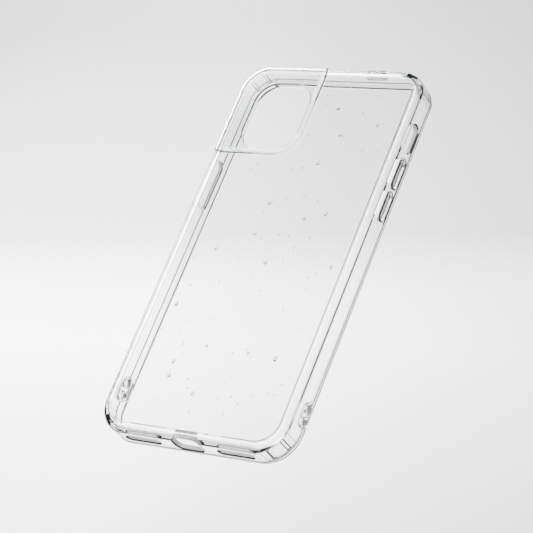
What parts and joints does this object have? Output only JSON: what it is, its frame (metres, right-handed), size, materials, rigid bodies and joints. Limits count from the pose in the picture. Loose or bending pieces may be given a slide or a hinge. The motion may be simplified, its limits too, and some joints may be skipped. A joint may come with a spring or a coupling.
{
  "type": "phone case",
  "caption": "Clear push-on phone case with a hard back, soft bumper, raised camera guard, press-through side buttons and barred lanyard eyelets.",
  "frame": {"origin": "under the middle of the case, on the plane that the front lip rests on", "axes": "+Z out of the back, +Y towards the camera cut-out end, +X towards the volume button side"},
  "size_m": [0.0826, 0.1622, 0.0123],
  "materials": {
    "clear_soft_plastic": "clear moulded, glossy",
    "clear_hard_plastic": "clear moulded, polished, with fine trapped air bubbles",
    "clear_button_plastic": "clear moulded, finely ribbed face"
  },
  "bodies": {
    "shell": {"bumper_frame": "clear_soft_plastic", "back_plate": "clear_hard_plastic", "camera_guard": "clear_soft_plastic", "corner_cushion_bottom_right": "clear_soft_plastic", "corner_cushion_bottom_left": "clear_soft_plastic", "corner_cushion_top_right": "clear_soft_plastic", "corner_cushion_top_left": "clear_soft_plastic", "lanyard_eyelet_left": "clear_soft_plastic", "lanyard_eyelet_right": "clear_soft_plastic"},
    "power": {"power_button": "clear_button_plastic"},
    "volume_up": {"volume_up_button": "clear_button_plastic"},
    "volume_down": {"volume_down_button": "clear_button_plastic"}
  },
  "joints": [
    {"name": "power_press", "type": "slide", "parent": "shell", "child": "power", "axis": [1, 0, 0], "range_m": [0, 0.0004], "stiffness_N_per_m": 3000},
    {"name": "volume_up_press", "type": "slide", "parent": "shell", "child": "volume_up", "axis": [-1, 0, 0], "range_m": [0, 0.0004], "stiffness_N_per_m": 3000},
    {"name": "volume_down_press", "type": "slide", "parent": "shell", "child": "volume_down", "axis": [-1, 0, 0], "range_m": [0, 0.0004], "stiffness_N_per_m": 3000}
  ]
}
